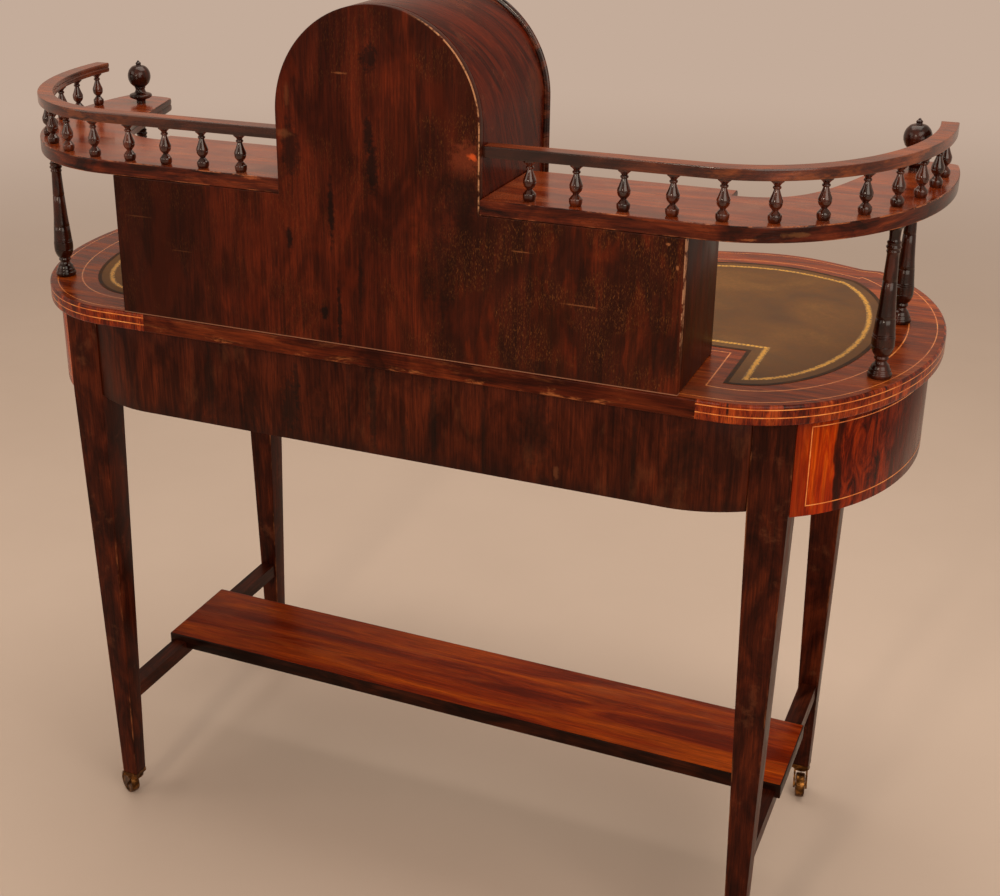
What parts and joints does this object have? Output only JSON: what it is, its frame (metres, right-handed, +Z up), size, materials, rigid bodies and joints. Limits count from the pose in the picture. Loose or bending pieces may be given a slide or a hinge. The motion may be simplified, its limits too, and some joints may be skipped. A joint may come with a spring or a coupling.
{
  "type": "lady's writing desk",
  "caption": "Small writing desk with rounded ends, leather writing surface, arched cupboard between letter holes, curved spindle galleries, frieze drawers and tapered legs on castors.",
  "frame": {"origin": "On the floor, below the middle of the desk's width and of its depth.", "axes": "+Z is up. +Y points to the back of the desk, so the sitter is on the -Y side. +X points to the sitter's right, along the desk."},
  "size_m": [1.1238, 0.5463, 1.1373],
  "materials": {
    "rosewood": "French polished",
    "dark_rosewood": "waxed and worn",
    "red_veneer": "French polished",
    "dark_turned_wood": "gloss polished",
    "inner_wood": "bare planed wood",
    "green_leather": "worn satin",
    "aged_brass": "aged"
  },
  "bodies": {
    "desk": {"arch_moulding": "dark_rosewood", "arch_shell": "rosewood", "castor_cup_front_left": "aged_brass", "castor_cup_front_right": "aged_brass", "castor_cup_rear_left": "aged_brass", "castor_cup_rear_right": "aged_brass", "column_front_left": "dark_turned_wood", "column_front_right": "dark_turned_wood", "column_rear_left": "dark_turned_wood", "column_rear_right": "dark_turned_wood", "cupboard_shelf": "inner_wood", "desk_top": "rosewood", "drawer_divider_left": "dark_rosewood", "drawer_divider_right": "dark_rosewood", "dust_board": "inner_wood", "end_apron_left": "red_veneer", "end_apron_right": "red_veneer", "finial_left": "dark_turned_wood", "finial_right": "dark_turned_wood", "gallery_rail_left": "rosewood", "gallery_rail_right": "rosewood", "gallery_shelf_left": "red_veneer", "gallery_shelf_right": "red_veneer", "hinge_frame_leaf_lower": "aged_brass", "hinge_frame_leaf_upper": "aged_brass", "leg_front_left": "dark_rosewood", "leg_front_right": "dark_rosewood", "leg_rear_left": "dark_rosewood", "leg_rear_right": "dark_rosewood", "rear_apron": "dark_rosewood", "rear_board": "dark_rosewood", "side_box_left": "rosewood", "side_box_right": "rosewood", "stretcher_left": "dark_rosewood", "stretcher_right": "dark_rosewood", "undershelf": "red_veneer", "writing_leather": "green_leather"},
    "cupboard_door": {"cupboard_door": "rosewood", "cupboard_door_knob": "aged_brass", "hinge_door_leaf_upper": "aged_brass", "hinge_door_leaf_lower": "aged_brass"},
    "frieze_drawer_left": {"frieze_drawer_left": "rosewood", "frieze_drawer_knob_left": "aged_brass"},
    "frieze_drawer_centre": {"frieze_drawer_centre": "rosewood", "centre_drawer_knob_left": "aged_brass", "centre_drawer_knob_right": "aged_brass"},
    "frieze_drawer_right": {"frieze_drawer_right": "rosewood", "frieze_drawer_knob_right": "aged_brass"},
    "small_drawer_left": {"small_drawer_left": "rosewood", "small_drawer_knob_left": "aged_brass"},
    "small_drawer_right": {"small_drawer_right": "rosewood", "small_drawer_knob_right": "aged_brass"},
    "castor_fork_front_left": {"castor_fork_front_left": "aged_brass"},
    "castor_wheel_front_left": {"castor_wheel_front_left": "aged_brass"},
    "castor_fork_front_right": {"castor_fork_front_right": "aged_brass"},
    "castor_wheel_front_right": {"castor_wheel_front_right": "aged_brass"},
    "castor_fork_rear_left": {"castor_fork_rear_left": "aged_brass"},
    "castor_wheel_rear_left": {"castor_wheel_rear_left": "aged_brass"},
    "castor_fork_rear_right": {"castor_fork_rear_right": "aged_brass"},
    "castor_wheel_rear_right": {"castor_wheel_rear_right": "aged_brass"}
  },
  "joints": [
    {"name": "swivel_front_left", "type": "hinge", "parent": "desk", "child": "castor_fork_front_left", "pos_m": [-0.429, -0.18685, 0.0389], "axis": [0, 0, 1], "continuous": true},
    {"name": "roll_front_left", "type": "hinge", "parent": "castor_fork_front_left", "child": "castor_wheel_front_left", "pos_m": [-0.43205, -0.17114, 0.01723], "axis": [-0.9816, -0.1908, 0], "continuous": true},
    {"name": "swivel_front_right", "type": "hinge", "parent": "desk", "child": "castor_fork_front_right", "pos_m": [0.429, -0.18685, 0.0389], "axis": [0, 0, 1], "continuous": true},
    {"name": "roll_front_right", "type": "hinge", "parent": "castor_fork_front_right", "child": "castor_wheel_front_right", "pos_m": [0.437, -0.17299, 0.01723], "axis": [-0.866, 0.5, 0], "continuous": true},
    {"name": "swivel_rear_left", "type": "hinge", "parent": "desk", "child": "castor_fork_rear_left", "pos_m": [-0.429, 0.21655, 0.0389], "axis": [0, 0, 1], "continuous": true},
    {"name": "roll_rear_left", "type": "hinge", "parent": "castor_fork_rear_left", "child": "castor_wheel_rear_left", "pos_m": [-0.44404, 0.21108, 0.01723], "axis": [0.342, -0.9397, 0], "continuous": true},
    {"name": "swivel_rear_right", "type": "hinge", "parent": "desk", "child": "castor_fork_rear_right", "pos_m": [0.429, 0.21655, 0.0389], "axis": [0, 0, 1], "continuous": true},
    {"name": "roll_rear_right", "type": "hinge", "parent": "castor_fork_rear_right", "child": "castor_wheel_rear_right", "pos_m": [0.44326, 0.20929, 0.01723], "axis": [0.454, 0.891, 0], "continuous": true},
    {"name": "slide_frieze_drawer_left", "type": "slide", "parent": "desk", "child": "frieze_drawer_left", "axis": [0, -1, 0], "range_m": [0, 0.3]},
    {"name": "slide_frieze_drawer_centre", "type": "slide", "parent": "desk", "child": "frieze_drawer_centre", "axis": [0, -1, 0], "range_m": [0, 0.3]},
    {"name": "slide_frieze_drawer_right", "type": "slide", "parent": "desk", "child": "frieze_drawer_right", "axis": [0, -1, 0], "range_m": [0, 0.3]},
    {"name": "slide_small_drawer_left", "type": "slide", "parent": "desk", "child": "small_drawer_left", "axis": [0, -1, 0], "range_m": [0, 0.09]},
    {"name": "slide_small_drawer_right", "type": "slide", "parent": "desk", "child": "small_drawer_right", "axis": [0, -1, 0], "range_m": [0, 0.09]},
    {"name": "swing_cupboard_door", "type": "hinge", "parent": "desk", "child": "cupboard_door", "pos_m": [-0.1071, 0.07435, 0.7622], "axis": [0, 0, -1], "range_deg": [0, 105]}
  ]
}
